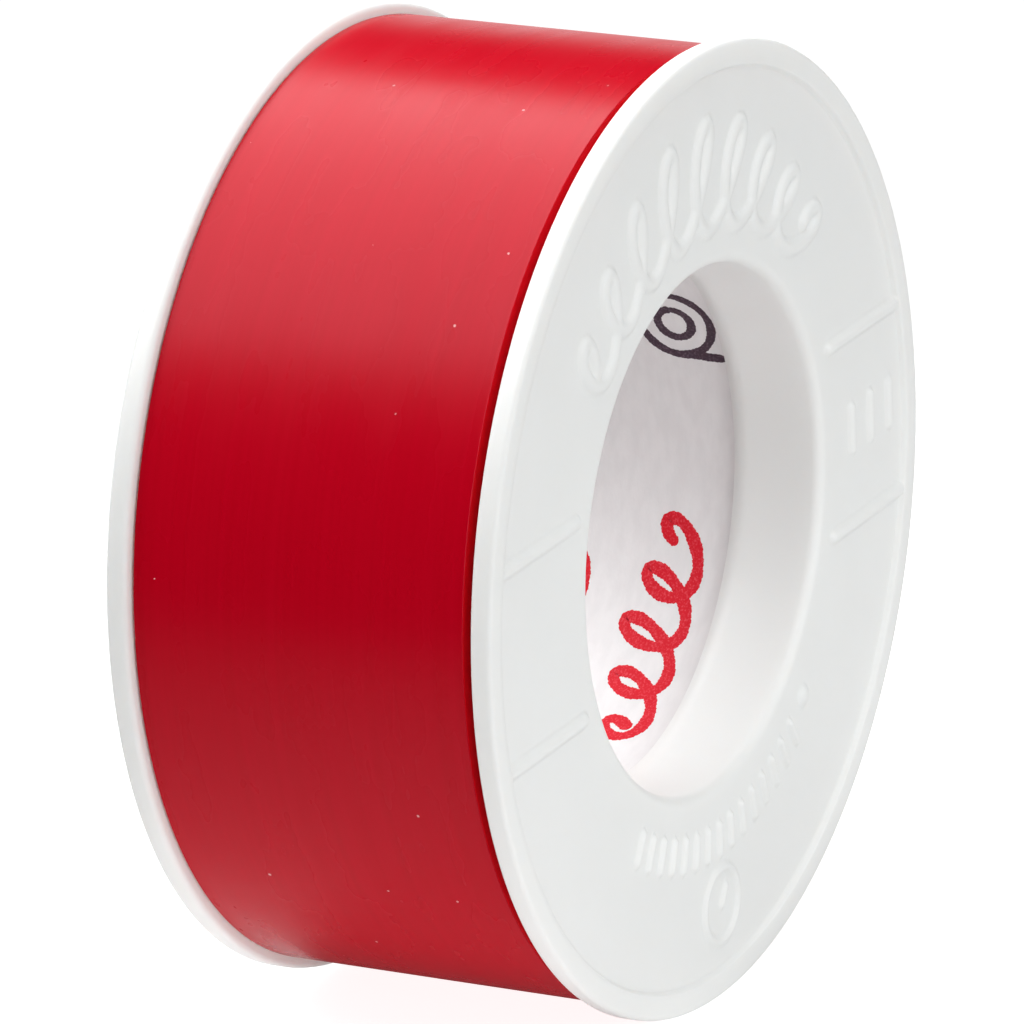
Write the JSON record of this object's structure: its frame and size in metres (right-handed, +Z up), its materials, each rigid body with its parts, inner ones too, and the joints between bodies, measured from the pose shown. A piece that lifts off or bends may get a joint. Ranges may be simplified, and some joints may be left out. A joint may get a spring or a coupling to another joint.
{
  "type": "electrical tape roll",
  "caption": "Roll of adhesive tape wound on a paper core between white moulded side discs, for insulating and marking wires.",
  "frame": {"origin": "centre of the roll, on its axis, halfway between the side discs", "axes": "+Y along the roll's axis from the front disc to the back disc, +Z up with the roll standing on its rims"},
  "size_m": [0.0522, 0.0222, 0.0522],
  "materials": {
    "red_tape": "satin soft vinyl film",
    "white_plastic": "fine matt moulding, slightly translucent",
    "printed_paper": "coated paper with coarse print",
    "core_board": "plain wound paperboard"
  },
  "bodies": {
    "roll": {"core_liner": "printed_paper", "core_plies": "core_board", "core_wrap": "core_board", "tape_pack": "red_tape", "tape_outer_turn": "red_tape"},
    "front": {"front_disc": "white_plastic"},
    "back": {"back_disc": "white_plastic"},
    "tail": {"tape_tail": "red_tape"}
  },
  "joints": [
    {"name": "front_disc_pull", "type": "slide", "parent": "roll", "child": "front", "axis": [0, -1, 0], "range_m": [0, 0.012]},
    {"name": "back_disc_pull", "type": "slide", "parent": "roll", "child": "back", "axis": [0, 1, 0], "range_m": [0, 0.012]},
    {"name": "tail_peel", "type": "hinge", "parent": "roll", "child": "tail", "pos_m": [0.02376, 0, 0.0095], "axis": [0, -1, 0], "range_deg": [0, 100]}
  ]
}
